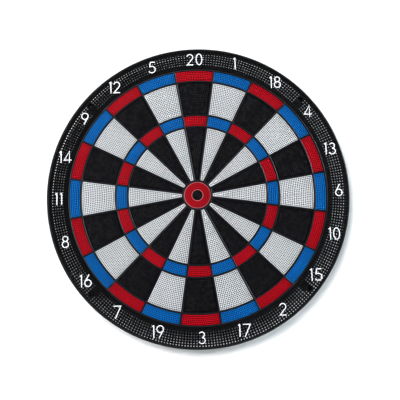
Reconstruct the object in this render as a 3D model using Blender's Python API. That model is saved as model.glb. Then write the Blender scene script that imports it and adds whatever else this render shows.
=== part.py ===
"""A soft-tip dartboard: a perforated-face board built from a number ring, a spider, floating
segments, a backing pad and a drum-shaped back cover. It hangs on a wall.

Metres. The origin is the board's centre on the wall plane, +Z is up and the face looks along -Y.
Every shape is written as depth in front of the wall, so depth d lies at y = -d.
"""

import math

import bmesh
import bpy
from mathutils import Matrix, Vector

MM = 0.001

# Face layout: the scoring area's outer edge and the coloured bands, as radii in millimetres.
SECTORS = 20
SECTOR = 2 * math.pi / SECTORS
NUMBERS = (20, 1, 18, 4, 13, 6, 10, 15, 2, 17, 3, 19, 7, 16, 8, 11, 14, 9, 12, 5)
RING_OUTER = 230.9
SCORING_OUTER = 198.2
RIB = 2.5
RIB_CENTRES = (21.95, 106.55, 124.9, 178.5, SCORING_OUTER - RIB / 2)
RADIAL_RIB = 2.4
SEGMENT_GAP = 0.45
INNER_BULL_R = 7.4
OUTER_BULL_BORE_R = 8.0
INNER_BULL_FLANGE_R = OUTER_BULL_BORE_R + 1.2
OUTER_BULL_POCKET_R = OUTER_BULL_BORE_R + 1.8

# The spaces between neighbouring circular ribs, counted from the bull.
INNER_SINGLE_BAND, TRIPLE_BAND, OUTER_SINGLE_BAND, DOUBLE_BAND = range(4)

# The legs and hoops that join the coloured segments of one ring.
RED_LEG_SHARE = (0.12, 0.46)
BLUE_LEG_SHARE = (0.54, 0.88)
LEG_INSET = 0.5
LEG_SIDE_INSET = 6.0

# Depths in front of the wall, in millimetres.
FACE = 30.0
RIB_BACK = 22.0
SEGMENT_FACE = 28.9
FLANGE_FRONT = 21.7
FLANGE_BACK = 20.0
FLANGE_OVERLAP = 0.45
INNER_BULL_FLANGE_FRONT = FLANGE_FRONT + 0.3
OUTER_BULL_POCKET_FRONT = FLANGE_FRONT + 1.8
TRAVEL = 1.2
CLEAR = 0.3
PAD_FRONT = FLANGE_BACK - TRAVEL - CLEAR
HOOP_FRONT = PAD_FRONT - 0.1
HOOP_BACK = HOOP_FRONT - 1.8
PAD_GROOVE = HOOP_BACK - TRAVEL - 0.4
PAD_BACK = 12.0
PAD_R = 199.3
GROOVE_SPARE = 1.0
WEB_FRONT = 29.0
WEB_BACK = 26.8
RING_FLANGE_BACK = 24.3
SKIRT_BACK = 8.0

# Back cover.
DRUM_R = 205.0
DRUM_WALL = 2.4
DRUM_FRONT = 26.1
LEDGE_R = 199.8
LEDGE_FRONT = 21.7
RECESS = 4.0
FLOOR = 6.5
RIM_INNER_R = 185.0
HUB_R = 24.0
SUPPORT_RIB_CENTRES = (120.0, 60.0)
STIFFENERS = 8

# Screws that hold the ring, given by the across and up distances of the first from the centre.
RING_SCREW_X = 162.9
RING_SCREW_Z = 144.6
CUP_R = 4.8
CUP_BORE_R = 3.3
CUP_FLOOR = 23.9
CUP_BACK = 21.9
CLEARANCE_R = 2.1
EAR_BOSS_R = 5.0
EAR_BOSS_FRONT = 21.6
EAR_WIDTH = 12.0

# Keyhole hanger.
HANGER_Z = 150.0
HANGER_SIZE = (64.0, 26.0)
HANGER_FRONT = 3.7
HANGER_BACK = 2.2
HANGER_SCREW_X = 23.0
KEYHOLE_ENTRY_R = 5.0
KEYHOLE_SLOT_R = 2.6
KEYHOLE_RISE = 8.5
POCKET_SIZE = (18.0, 24.0)
POCKET_WALL = 1.6
POCKET_FRONT = PAD_BACK - 0.4

# Screws: head radius, head height, shank radius and shank length.
RING_SCREW = (2.9, 2.2, 1.75, 14.0)
HANGER_SCREW = (3.2, 1.5, 1.5, 7.5)

# Facets.
ARCS = 3
ROUND = 60
DRUM_FACETS = 48
HOOP_FACETS = 36
BULL_FACETS = 28
SMALL_ROUND = 16

WHITE = (0.66, 0.68, 0.69)
BLACK = (0.012, 0.011, 0.014)
RED = (0.42, 0.006, 0.014)
BLUE = (0.006, 0.11, 0.42)
PLASTIC = {"roughness": 0.5, "metallic": 0.0}


def material(name, colour, roughness=0.5, metallic=0.0):
    made = bpy.data.materials.new(name)
    made.use_nodes = True
    shader = made.node_tree.nodes["Principled BSDF"]
    shader.inputs["Base Color"].default_value = (*colour, 1)
    shader.inputs["Roughness"].default_value = roughness
    shader.inputs["Metallic"].default_value = metallic
    made.diffuse_color = (*colour, 1)
    return made


def point(r, turn, depth):
    """The point at radius r, turned clockwise from straight up as seen from the front."""
    return Vector((r * math.sin(turn), -depth, r * math.cos(turn))) * MM


def finish_mesh(name, bm, look, smooth_angle=40):
    bmesh.ops.recalc_face_normals(bm, faces=bm.faces)
    mesh = bpy.data.meshes.new(name)
    bm.to_mesh(mesh)
    bm.free()
    mesh.materials.append(look)
    mesh.shade_smooth()
    mesh.set_sharp_from_angle(angle=math.radians(smooth_angle))
    obj = bpy.data.objects.new(name, mesh)
    bpy.context.scene.collection.objects.link(obj)
    return obj


def lofted(bm, loops):
    """A closed solid through loops of the same number of points, capped at both ends."""
    rings = [[bm.verts.new(p) for p in loop] for loop in loops]
    count = len(rings[0])
    for near, far in zip(rings, rings[1:]):
        for i in range(count):
            j = (i + 1) % count
            bm.faces.new((near[i], near[j], far[j], far[i]))
    bm.faces.new(rings[0][::-1])
    bm.faces.new(rings[-1])


def turned(bm, profile, steps, centre=(0.0, 0.0)):
    """A closed solid spun from (radius, depth) points about an axis along Y through centre (x, z).

    Points at radius 0 meet in one vertex on the axis.
    """
    offset = Vector((centre[0], 0, centre[1])) * MM
    columns = []
    for r, depth in profile:
        if r == 0:
            columns.append([bm.verts.new(point(0, 0, depth) + offset)] * steps)
        else:
            turns = [2 * math.pi * i / steps for i in range(steps)]
            columns.append([bm.verts.new(point(r, turn, depth) + offset) for turn in turns])
    closed = profile[0][0] > 0
    pairs = list(zip(columns, columns[1:]))
    if closed:
        pairs.append((columns[-1], columns[0]))
    for near, far in pairs:
        for i in range(steps):
            j = (i + 1) % steps
            corners = []
            for vert in (near[i], near[j], far[j], far[i]):
                if vert not in corners:
                    corners.append(vert)
            if len(corners) > 2:
                bm.faces.new(corners)


def helper(name, bm):
    """A mesh that only cuts or joins, so it is left out of renders."""
    bmesh.ops.recalc_face_normals(bm, faces=bm.faces)
    mesh = bpy.data.meshes.new(name)
    bm.to_mesh(mesh)
    bm.free()
    obj = bpy.data.objects.new(name, mesh)
    obj.hide_render = True
    obj.display_type = "WIRE"
    bpy.context.scene.collection.objects.link(obj)
    return obj


def boolean(obj, operation, other):
    modifier = obj.modifiers.new(operation.title(), "BOOLEAN")
    modifier.operation = operation
    modifier.solver = "EXACT"
    modifier.object = other


def box(bm, low, high, turn=0.0):
    """A box from low to high, each (x, depth, z), turned clockwise about the board's axis."""
    centre = (Vector(low) + Vector(high)) / 2
    size = Vector(high) - Vector(low)
    place = Matrix.Translation(Vector((centre.x, -centre.y, centre.z)) * MM)
    shape = Matrix.Diagonal((*(size * MM), 1))
    bmesh.ops.create_cube(bm, size=1, matrix=Matrix.Rotation(turn, 4, "Y") @ place @ shape)


def sector_outline(turn, r_in, r_out, inset):
    """Corner and arc points of one cell, inset from the sector's two boundary lines."""
    def arc(r, direction):
        half = SECTOR / 2 - math.asin(inset / r)
        return [(r, turn + direction * half * (2 * i / ARCS - 1)) for i in range(ARCS + 1)]
    return arc(r_out, 1) + arc(r_in, -1)


def cell_loop(turn, r_in, r_out, inset, depth):
    return [point(r, angle, depth) for r, angle in sector_outline(turn, r_in, r_out, inset)]


def cell_radii(band):
    """The inner and outer edges of the space between two circular ribs."""
    return RIB_CENTRES[band] + RIB / 2, RIB_CENTRES[band + 1] - RIB / 2


def segment_loops(turn, band):
    """A segment's block, which fills the cell, and its flange, which hooks behind the ribs."""
    r_in, r_out = cell_radii(band)
    block = (turn, r_in + SEGMENT_GAP, r_out - SEGMENT_GAP, RADIAL_RIB / 2 + SEGMENT_GAP)
    flange = (turn, r_in - FLANGE_OVERLAP, r_out + FLANGE_OVERLAP, RADIAL_RIB / 2 - FLANGE_OVERLAP)
    return [
        cell_loop(*block, SEGMENT_FACE),
        cell_loop(*block, FLANGE_FRONT),
        cell_loop(*flange, FLANGE_FRONT),
        cell_loop(*flange, FLANGE_BACK),
    ]


def single(name, index, band, look):
    bm = bmesh.new()
    lofted(bm, segment_loops(index * SECTOR, band))
    return finish_mesh(name, bm, look)


def colour_ring(name, band, first, leg_share, look):
    """Every second segment of a narrow band, joined by legs to one hoop behind the face.

    leg_share gives where the legs stand across the band, so that two rings pass each other.
    """
    r_in, r_out = cell_radii(band)
    leg_in, leg_out = (r_in + share * (r_out - r_in) for share in leg_share)
    section = ((leg_in, HOOP_FRONT), (leg_out, HOOP_FRONT), (leg_out, HOOP_BACK), (leg_in, HOOP_BACK))
    hoop = bmesh.new()
    turned(hoop, section, HOOP_FACETS)
    blocks = bmesh.new()
    leg_depth = (HOOP_FRONT + HOOP_BACK) / 2
    for index in range(first, SECTORS, 2):
        turn = index * SECTOR
        leg = (turn, leg_in + LEG_INSET, leg_out - LEG_INSET, LEG_SIDE_INSET)
        legs = [cell_loop(*leg, FLANGE_BACK), cell_loop(*leg, leg_depth)]
        lofted(blocks, segment_loops(turn, band) + legs)
    obj = finish_mesh(name, hoop, look)
    boolean(obj, "UNION", helper(name + "_blocks", blocks))
    return obj


def spider(look):
    """One flat web: each circular rib is a band of quads and each radial rib crosses the cells."""
    bm = bmesh.new()
    edges = []
    for centre in RIB_CENTRES:
        edges += [centre - RIB / 2, centre + RIB / 2]
    angles = []
    for index in range(SECTORS):
        for step in range(ARCS + 1):
            angles.append((index, step))
    rows = []
    for r in edges:
        half = SECTOR / 2 - math.asin(RADIAL_RIB / 2 / r)
        rows.append([
            bm.verts.new(point(r, index * SECTOR + half * (2 * step / ARCS - 1), FACE))
            for index, step in angles
        ])
    count = len(angles)
    for band, (low, high) in enumerate(zip(rows, rows[1:])):
        between_ribs = band % 2 == 1
        for i, (_, step) in enumerate(angles):
            crosses_boundary = step == ARCS
            if between_ribs and not crosses_boundary:
                continue
            j = (i + 1) % count
            bm.faces.new((low[i], low[j], high[j], high[i]))
    pushed = bmesh.ops.extrude_face_region(bm, geom=bm.faces[:])
    moved = [item for item in pushed["geom"] if isinstance(item, bmesh.types.BMVert)]
    bmesh.ops.translate(bm, verts=moved, vec=(0, (FACE - RIB_BACK) * MM, 0))
    web = finish_mesh("spider", bm, look)
    foot = bmesh.new()
    turned(foot, (
        (SCORING_OUTER - 0.6, RING_FLANGE_BACK - CLEAR),
        (LEDGE_R + 2.0, RING_FLANGE_BACK - CLEAR),
        (LEDGE_R + 2.0, LEDGE_FRONT + CLEAR),
        (SCORING_OUTER - 0.6, LEDGE_FRONT + CLEAR),
    ), DRUM_FACETS)
    boolean(web, "UNION", helper("spider_foot", foot))
    return web


def drilled(bm, r, back, front, centre):
    """A cylinder along Y between two depths, to cut a hole with."""
    turned(bm, ((0, front), (r, front), (r, back), (0, back)), SMALL_ROUND, centre)


def ring_screw_places():
    return [(x, z) for x in (-RING_SCREW_X, RING_SCREW_X) for z in (-RING_SCREW_Z, RING_SCREW_Z)]


def number_ring(look):
    """The ring's section, turned: an inner flange, a thin web, and a rolled lip with a skirt."""
    bm = bmesh.new()
    turned(bm, (
        (SCORING_OUTER + 0.7, WEB_FRONT),
        (RING_OUTER - 3.6, WEB_FRONT),
        (RING_OUTER - 3.0, WEB_FRONT + 0.6),
        (RING_OUTER - 1.8, FACE),
        (RING_OUTER - 0.5, WEB_FRONT + 0.7),
        (RING_OUTER, WEB_FRONT - 0.3),
        (RING_OUTER, SKIRT_BACK),
        (RING_OUTER - 2.2, SKIRT_BACK),
        (RING_OUTER - 2.8, WEB_BACK),
        (SCORING_OUTER + 3.0, WEB_BACK),
        (SCORING_OUTER + 3.0, RING_FLANGE_BACK),
        (SCORING_OUTER + 0.7, RING_FLANGE_BACK),
    ), ROUND)
    ring = finish_mesh("number_ring", bm, look)
    cups, bores = bmesh.new(), bmesh.new()
    for centre in ring_screw_places():
        turned(cups, ((0, WEB_FRONT - 1.0), (CUP_R, WEB_FRONT - 1.0), (CUP_R, CUP_BACK), (0, CUP_BACK)),
               SMALL_ROUND, centre)
        turned(bores, (
            (0, FACE + 1.0), (CUP_BORE_R, FACE + 1.0), (CUP_BORE_R, CUP_FLOOR),
            (CLEARANCE_R, CUP_FLOOR), (CLEARANCE_R, CUP_BACK - 1.0), (0, CUP_BACK - 1.0),
        ), SMALL_ROUND, centre)
    boolean(ring, "UNION", helper("ring_cups", cups))
    boolean(ring, "DIFFERENCE", helper("ring_bores", bores))
    return ring


def back_cover(look):
    """A drum with a recessed back, stiffened outside, with ring ribs inside to carry the pad."""
    inside = []
    for centre in SUPPORT_RIB_CENTRES:
        inside += [
            (centre + 1.25, FLOOR), (centre + 1.0, PAD_BACK - CLEAR),
            (centre - 1.0, PAD_BACK - CLEAR), (centre - 1.25, FLOOR),
        ]
    bm = bmesh.new()
    turned(bm, (
        (0, 0), (HUB_R, 0), (HUB_R + 0.6, RECESS), (RIM_INNER_R - 0.6, RECESS), (RIM_INNER_R, 0),
        (DRUM_R, 0), (DRUM_R, DRUM_FRONT), (DRUM_R - DRUM_WALL, DRUM_FRONT),
        (DRUM_R - DRUM_WALL, LEDGE_FRONT), (LEDGE_R, LEDGE_FRONT), (LEDGE_R, FLOOR), *inside, (0, FLOOR),
    ), DRUM_FACETS)
    cover = finish_mesh("back_cover", bm, look)

    ears = bmesh.new()
    ear = ((0, RECESS), (EAR_BOSS_R, RECESS), (EAR_BOSS_R, EAR_BOSS_FRONT), (0, EAR_BOSS_FRONT))
    for centre in ring_screw_places():
        turned(ears, ear, SMALL_ROUND, centre)
    arms = bmesh.new()
    for x, z in ring_screw_places():
        reach = math.hypot(x, z)
        box(arms, (-EAR_WIDTH / 2, RECESS + 1.0, DRUM_R - 1.5), (EAR_WIDTH / 2, EAR_BOSS_FRONT - 1.0, reach),
            math.atan2(x, z))
    stiffeners = bmesh.new()
    for index in range(STIFFENERS):
        box(stiffeners, (-1.5, 0.5, HUB_R - 1.0), (1.5, RECESS + 1.0, RIM_INNER_R + 1.0),
            2 * math.pi * (index + 0.5) / STIFFENERS)
    half_x, half_z = (side / 2 for side in POCKET_SIZE)
    pocket = bmesh.new()
    box(pocket, (-half_x - POCKET_WALL, FLOOR - 1.0, HANGER_Z - half_z - POCKET_WALL),
        (half_x + POCKET_WALL, POCKET_FRONT, HANGER_Z + half_z + POCKET_WALL))
    boolean(cover, "UNION", helper("cover_arms", arms))
    boolean(cover, "UNION", helper("cover_ears", ears))
    boolean(cover, "UNION", helper("cover_stiffeners", stiffeners))
    boolean(cover, "UNION", helper("cover_pocket", pocket))

    holes = bmesh.new()
    for centre in ring_screw_places():
        drilled(holes, CLEARANCE_R, FLOOR + 1.0, EAR_BOSS_FRONT + 1.0, centre)
    for x in (-HANGER_SCREW_X, HANGER_SCREW_X):
        drilled(holes, CLEARANCE_R - 0.3, RECESS - 1.0, FLOOR + 1.0, (x, HANGER_Z))
    box(holes, (-half_x, RECESS - 1.0, HANGER_Z - half_z),
        (half_x, POCKET_FRONT - POCKET_WALL, HANGER_Z + half_z))
    boolean(cover, "DIFFERENCE", helper("cover_holes", holes))
    return cover


def backing_pad(look):
    """A sponge disc, thinner under the doubles and in a groove under the triples, for their hoops."""
    double_in = cell_radii(DOUBLE_BAND)[0] - GROOVE_SPARE
    triple_in, triple_out = cell_radii(TRIPLE_BAND)
    bm = bmesh.new()
    turned(bm, (
        (0, PAD_BACK), (PAD_R, PAD_BACK), (PAD_R, PAD_GROOVE), (double_in, PAD_GROOVE),
        (double_in, PAD_FRONT), (triple_out + GROOVE_SPARE, PAD_FRONT),
        (triple_out + GROOVE_SPARE, PAD_GROOVE), (triple_in - GROOVE_SPARE, PAD_GROOVE),
        (triple_in - GROOVE_SPARE, PAD_FRONT), (0, PAD_FRONT),
    ), HOOP_FACETS)
    return finish_mesh("backing_pad", bm, look)


def bulls(red, black):
    """The outer bull hooks behind the first circular rib, and the inner bull behind the outer one."""
    edge = RIB_CENTRES[0] - RIB / 2
    bm = bmesh.new()
    turned(bm, (
        (OUTER_BULL_BORE_R, SEGMENT_FACE), (edge - SEGMENT_GAP, SEGMENT_FACE),
        (edge - SEGMENT_GAP, FLANGE_FRONT), (edge + FLANGE_OVERLAP, FLANGE_FRONT),
        (edge + FLANGE_OVERLAP, FLANGE_BACK), (OUTER_BULL_POCKET_R, FLANGE_BACK),
        (OUTER_BULL_POCKET_R, OUTER_BULL_POCKET_FRONT), (OUTER_BULL_BORE_R, OUTER_BULL_POCKET_FRONT),
    ), BULL_FACETS)
    finish_mesh("outer_bull", bm, red)
    bm = bmesh.new()
    turned(bm, (
        (0, SEGMENT_FACE), (INNER_BULL_R, SEGMENT_FACE), (INNER_BULL_R, INNER_BULL_FLANGE_FRONT),
        (INNER_BULL_FLANGE_R, INNER_BULL_FLANGE_FRONT), (INNER_BULL_FLANGE_R, FLANGE_BACK),
        (0, FLANGE_BACK),
    ), BULL_FACETS)
    finish_mesh("inner_bull", bm, black)


def pan_screw(name, centre, under_head, sizes, faces_front, look):
    """A pan-head screw along Y. The head stands on depth under_head, the shank runs the other way."""
    head_r, head_height, shank_r, length = sizes
    way = 1 if faces_front else -1
    bm = bmesh.new()
    turned(bm, (
        (0, under_head + way * head_height), (head_r * 0.6, under_head + way * head_height),
        (head_r, under_head + way * head_height * 0.5), (head_r, under_head), (shank_r, under_head),
        (shank_r, under_head - way * (length - 1.5)), (shank_r * 0.4, under_head - way * length),
        (0, under_head - way * length),
    ), SMALL_ROUND, centre)
    return finish_mesh(name, bm, look)


def hanger_plate(look):
    """A steel plate with a keyhole: the wall screw's head enters the round end and the slot drops on."""
    width, height = HANGER_SIZE
    bm = bmesh.new()
    box(bm, (-width / 2, HANGER_BACK, HANGER_Z - height / 2),
        (width / 2, HANGER_FRONT, HANGER_Z + height / 2))
    upright = [edge for edge in bm.edges if abs(edge.verts[0].co.y - edge.verts[1].co.y) > MM]
    bmesh.ops.bevel(bm, geom=upright, offset=4 * MM, segments=3, affect="EDGES", clamp_overlap=True)
    plate = finish_mesh("hanger_plate", bm, look)
    cutter = bmesh.new()
    through = (HANGER_BACK - 1.0, HANGER_FRONT + 1.0)
    entry_z = HANGER_Z - KEYHOLE_RISE / 2
    slot_z = HANGER_Z + KEYHOLE_RISE / 2
    circles = ((KEYHOLE_ENTRY_R, 0, entry_z), (KEYHOLE_SLOT_R, 0, slot_z),
               (CLEARANCE_R, -HANGER_SCREW_X, HANGER_Z), (CLEARANCE_R, HANGER_SCREW_X, HANGER_Z))
    for r, x, z in circles:
        drilled(cutter, r, *through, (x, z))
    boolean(plate, "DIFFERENCE", helper("hanger_circles", cutter))
    slot = bmesh.new()
    box(slot, (-KEYHOLE_SLOT_R, through[0], entry_z), (KEYHOLE_SLOT_R, through[1], slot_z))
    boolean(plate, "DIFFERENCE", helper("hanger_slot", slot))
    return plate


def main():
    for obj in list(bpy.data.objects):
        bpy.data.objects.remove(obj)
    black = material("black_plastic", BLACK, **PLASTIC)
    white = material("white_plastic", WHITE, **PLASTIC)
    red = material("red_plastic", RED, **PLASTIC)
    blue = material("blue_plastic", BLUE, **PLASTIC)
    foam = material("sponge", (0.03, 0.03, 0.032), roughness=0.95)
    steel = material("zinc_steel", (0.55, 0.56, 0.57), roughness=0.35, metallic=1.0)
    dark_steel = material("black_steel", (0.03, 0.03, 0.033), roughness=0.4, metallic=1.0)

    number_ring(black)
    spider(black)
    back_cover(black)
    backing_pad(foam)
    for index, number in enumerate(NUMBERS):
        look = black if index % 2 == 0 else white
        single(f"outer_single_{number}", index, OUTER_SINGLE_BAND, look)
        single(f"inner_single_{number}", index, INNER_SINGLE_BAND, look)
    for name, band in (("double", DOUBLE_BAND), ("triple", TRIPLE_BAND)):
        colour_ring(f"{name}_red", band, 0, RED_LEG_SHARE, red)
        colour_ring(f"{name}_blue", band, 1, BLUE_LEG_SHARE, blue)
    bulls(red, black)
    for index, centre in enumerate(ring_screw_places()):
        pan_screw(f"ring_screw_{index + 1}", centre, CUP_FLOOR + CLEAR, RING_SCREW, True, dark_steel)
    hanger_plate(steel)
    for index, x in enumerate((-HANGER_SCREW_X, HANGER_SCREW_X)):
        centre = (x, HANGER_Z)
        pan_screw(f"hanger_screw_{index + 1}", centre, HANGER_BACK - CLEAR, HANGER_SCREW, False, steel)


main()
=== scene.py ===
"""The looks of a soft-tip dartboard: perforated segments, a perforated number ring with raised numerals,
a rounded spider, screws, a sponge pad and a ribbed back cover, hung on a pale wall.

Sizes are in millimetres. Depth d in front of the wall lies at y = -d, the face looks along -Y, and a
turn is clockwise from straight up as seen from the front.
"""

import math

import bmesh
import bpy
from mathutils import Matrix, Vector, noise
from mathutils.geometry import delaunay_2d_cdt


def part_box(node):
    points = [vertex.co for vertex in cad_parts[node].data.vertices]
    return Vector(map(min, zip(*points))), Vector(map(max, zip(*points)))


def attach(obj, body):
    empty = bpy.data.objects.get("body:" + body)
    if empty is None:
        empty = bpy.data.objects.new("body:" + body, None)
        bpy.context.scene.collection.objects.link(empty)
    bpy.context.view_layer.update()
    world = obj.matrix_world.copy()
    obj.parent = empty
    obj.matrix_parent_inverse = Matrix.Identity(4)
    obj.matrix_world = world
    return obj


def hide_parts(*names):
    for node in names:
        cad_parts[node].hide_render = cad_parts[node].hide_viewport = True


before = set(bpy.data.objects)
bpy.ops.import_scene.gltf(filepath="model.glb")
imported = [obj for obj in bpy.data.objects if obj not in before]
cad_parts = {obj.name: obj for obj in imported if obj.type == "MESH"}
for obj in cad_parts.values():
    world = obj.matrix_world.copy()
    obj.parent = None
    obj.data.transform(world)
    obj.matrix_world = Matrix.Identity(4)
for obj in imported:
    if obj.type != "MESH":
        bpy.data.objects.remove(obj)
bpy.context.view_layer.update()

MM = 0.001


def depths(node):
    """The front and back of a CAD node, as depths in front of the wall."""
    low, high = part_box(node)
    return -low.y / MM, -high.y / MM


# Layout of the face, as in the CAD model.
SECTORS = 20
SECTOR = 2 * math.pi / SECTORS
NUMBERS = (20, 1, 18, 4, 13, 6, 10, 15, 2, 17, 3, 19, 7, 16, 8, 11, 14, 9, 12, 5)
RING_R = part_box("number_ring")[1].x / MM
SCORING_R = 198.2
RIB = 2.5
RIB_CENTRES = (21.95, 106.55, 124.9, 178.5, SCORING_R - RIB / 2)
RADIAL_RIB = 2.4
GAP = 0.45
BULL_STEPS = 72
INNER_SINGLE, TRIPLE, OUTER_SINGLE, DOUBLE = range(4)

# Depths, read from the frame.
FACE, RIB_BACK = depths("spider")
SEGMENT_FACE, FLANGE_BACK = depths("inner_single_20")
PAD_FRONT, PAD_BACK = depths("backing_pad")
PLATE_FRONT, PLATE_BACK = depths("hanger_plate")
FLANGE_FRONT = FLANGE_BACK + 1.7
FLANGE_OVERLAP = 0.45
# Painted shade in the dart holes starts 0.6 mm below the segments' face.
HOLE_SHADE_DEPTH = SEGMENT_FACE - 0.6

# Dart holes in the segments.
HOLE_PITCH = 2.74
HOLE_SPREAD = 2.7
HOLE_LEAST_SPREAD = 2.3
HOLE_R = 0.97
HOLE_MOUTH_R = 1.1
HOLE_CHAMFER = 0.2
HOLE_MARGIN = 1.9
HOLE_SIDES = 8

# Holes in the number ring.
WEB_FRONT = FACE - 1.0
WEB_BACK = WEB_FRONT - 2.2
RING_ROW_R = 202.7
RING_ROW_PITCH = 3.83
RING_ROWS = 7
RING_COLUMNS = 16
RING_HOLE_R = 1.18
RING_HOLE_MOUTH_R = 1.3
RING_HOLE_CHAMFER = 0.3
NUMERAL_R = 213.5
NUMERAL_SHIFT = (1.0, 0.4)
NUMERAL_NUDGES = {
    1: (-4.0, 1.7), 2: (-3.8, -2.2), 5: (-0.8, -0.3), 6: (0.0, 0.7), 9: (0.4, -0.9), 10: (0.0, 1.1),
    13: (0.2, -0.6), 14: (0.4, -0.9), 17: (-3.0, -1.2), 18: (-1.6, 0.0), 19: (0.6, 0.3),
}
NUMERAL_RISE = 0.8
NUMERAL_MARGIN = 0.2
STROKE = 1.72

# Screws of the ring.
SCREW_X = 162.9
SCREW_Z = 144.6
CUP_R = 4.4
CUP_BORE_R = 3.3
CUP_BACK = 21.9
CUP_FLOOR = 23.9
CUP_PLAIN_R = 5.7
CLEARANCE_R = 2.1

# Back cover, as in the CAD model.
DRUM_R = 205.0
DRUM_WALL = 2.4
LEDGE_R = 199.8
LEDGE_FRONT = 21.7
RECESS = 4.0
FLOOR = 6.5
RIM_INNER_R = 185.0
HUB_R = 24.0
SUPPORT_RIBS = (120.0, 60.0)
STIFFENERS = 8
EAR_R = 5.0
EAR_FRONT = 21.6
EAR_WIDTH = 12.0

# Keyhole hanger.
HANGER_Z = 150.0
HANGER_SIZE = (64.0, 26.0)
HANGER_SCREW_X = 23.0
KEYHOLE_ENTRY_R = 5.0
KEYHOLE_SLOT_R = 2.6
KEYHOLE_RISE = 8.5
POCKET_SIZE = (18.0, 24.0)
POCKET_WALL = 1.6


def at(x, z, depth):
    """The point at x and z, both in millimetres, at a depth in front of the wall."""
    return Vector((x, -depth, z)) * MM


def polar(r, turn):
    """The (x, z) of a point at radius r, turned from straight up."""
    return r * math.sin(turn), r * math.cos(turn)


def circle(r, steps, centre=(0.0, 0.0), start=0.0):
    """Points round a circle, as (x, z)."""
    turns = [start + 2 * math.pi * i / steps for i in range(steps)]
    return [(centre[0] + r * math.sin(t), centre[1] + r * math.cos(t)) for t in turns]


# ---------------------------------------------------------------- meshes


SMOOTH_ANGLE = 35.0
INSIDE_ONLY = 1


def mesh_of(name, points, faces, smooth_angle):
    bm = bmesh.new()
    verts = [bm.verts.new(p) for p in points]
    for face in faces:
        bm.faces.new([verts[i] for i in face])
    return close_mesh(name, bm, smooth_angle)


def close_mesh(name, bm, smooth_angle=SMOOTH_ANGLE):
    """Turns a finished bmesh into a mesh, shaded smooth up to an angle in degrees."""
    bmesh.ops.recalc_face_normals(bm, faces=bm.faces)
    mesh = bpy.data.meshes.new(name)
    bm.to_mesh(mesh)
    bm.free()
    mesh.shade_smooth()
    mesh.set_sharp_from_angle(angle=math.radians(smooth_angle))
    return mesh


def surrounds(loop, x, z):
    """Whether a closed loop of (x, z) points goes round a point."""
    odd = False
    for (ax, az), (bx, bz) in zip(loop, loop[1:] + loop[:1]):
        if (az > z) != (bz > z) and x < ax + (z - az) * (bx - ax) / (bz - az):
            odd = not odd
    return odd


def plate(name, outline, holes, smooth_angle=SMOOTH_ANGLE):
    """A closed plate with holes through it.

    The outline and each hole are lists of levels, from the front face to the rear face. A level is a
    loop of (x, z) points with its depth, and the loops of one list have the same number of points.
    """
    points, faces, flat, edges, rear = [], [], [], [], []
    for number, levels in enumerate([outline, *holes]):
        first, count = len(points), len(levels[0][0])
        for loop, depth in levels:
            points += [at(x, z, depth) for x, z in loop]
        for level in range(len(levels) - 1):
            near = first + level * count
            far = near + count
            for i in range(count):
                j = (i + 1) % count
                faces.append((near + i, near + j, far + j, far + i))
        start = len(flat)
        edges += [(start + i, start + (i + 1) % count) for i in range(count)]
        flat += [(Vector(p), first + i, number) for i, p in enumerate(levels[0][0])]
        rear += [first + (len(levels) - 1) * count + i for i in range(count)]
    rim = [list(range(len(outline[0][0])))]
    corners_2d = [p for p, _, _ in flat]
    _, _, triangles, origins, _, _ = delaunay_2d_cdt(corners_2d, edges, rim, INSIDE_ONLY, 1e-5, True)
    source = [origin[0] for origin in origins]
    for triangle in triangles:
        corners = [source[i] for i in triangle]
        # With all its corners on one loop, a triangle may lie outside the outline or inside a hole.
        owners = {flat[c][2] for c in corners}
        if len(owners) == 1:
            number = owners.pop()
            loop = [outline, *holes][number][0][0]
            centre = sum((flat[c][0] for c in corners), Vector((0, 0))) / 3
            if surrounds(loop, centre.x, centre.y) != (number == 0):
                continue
        faces.append([flat[c][1] for c in corners])
        faces.append([rear[c] for c in reversed(corners)])
    return mesh_of(name, points, faces, smooth_angle)


def turned(bm, profile, steps, centre=(0.0, 0.0)):
    """A closed solid spun from (radius, depth) points about an axis along Y through centre."""
    columns = []
    for r, depth in profile:
        if r == 0:
            columns.append([bm.verts.new(at(*centre, depth))] * steps)
        else:
            columns.append([bm.verts.new(at(x, z, depth)) for x, z in circle(r, steps, centre)])
    pairs = list(zip(columns, columns[1:]))
    if profile[0][0] > 0:
        pairs.append((columns[-1], columns[0]))
    for near, far in pairs:
        for i in range(steps):
            j = (i + 1) % steps
            corners = list(dict.fromkeys((near[i], near[j], far[j], far[i])))
            if len(corners) > 2:
                bm.faces.new(corners)


def box(bm, low, high, turn=0.0):
    """A box from low to high, each (x, depth, z), turned about the board's axis."""
    middle = (Vector(low) + Vector(high)) / 2
    size = Vector(high) - Vector(low)
    place = Matrix.Translation(at(middle.x, middle.z, middle.y))
    shape = Matrix.Diagonal((*(size * MM), 1))
    bmesh.ops.create_cube(bm, size=1, matrix=Matrix.Rotation(turn, 4, "Y") @ place @ shape)


def combined(mesh, steps, bevel=None):
    """A mesh after Boolean steps, each an operation and a bmesh, and a bevel of its sharp edges."""
    obj = bpy.data.objects.new("work", mesh)
    bpy.context.scene.collection.objects.link(obj)
    helpers = []
    for operation, bm in steps:
        helper = bpy.data.objects.new("helper", close_mesh("helper", bm))
        bpy.context.scene.collection.objects.link(helper)
        helpers.append(helper)
        modifier = obj.modifiers.new(operation, "BOOLEAN")
        modifier.operation = operation
        modifier.solver = "EXACT"
        modifier.object = helper
    if bevel:
        modifier = obj.modifiers.new("Bevel", "BEVEL")
        modifier.width = bevel * MM
        modifier.segments = 2
        modifier.limit_method = "ANGLE"
        modifier.angle_limit = math.radians(40)
    graph = bpy.context.evaluated_depsgraph_get()
    made = bpy.data.meshes.new_from_object(obj.evaluated_get(graph))
    made.name = mesh.name
    for each in [obj, *helpers]:
        bpy.data.objects.remove(each)
    made.shade_smooth()
    made.set_sharp_from_angle(angle=math.radians(SMOOTH_ANGLE))
    return made


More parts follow.
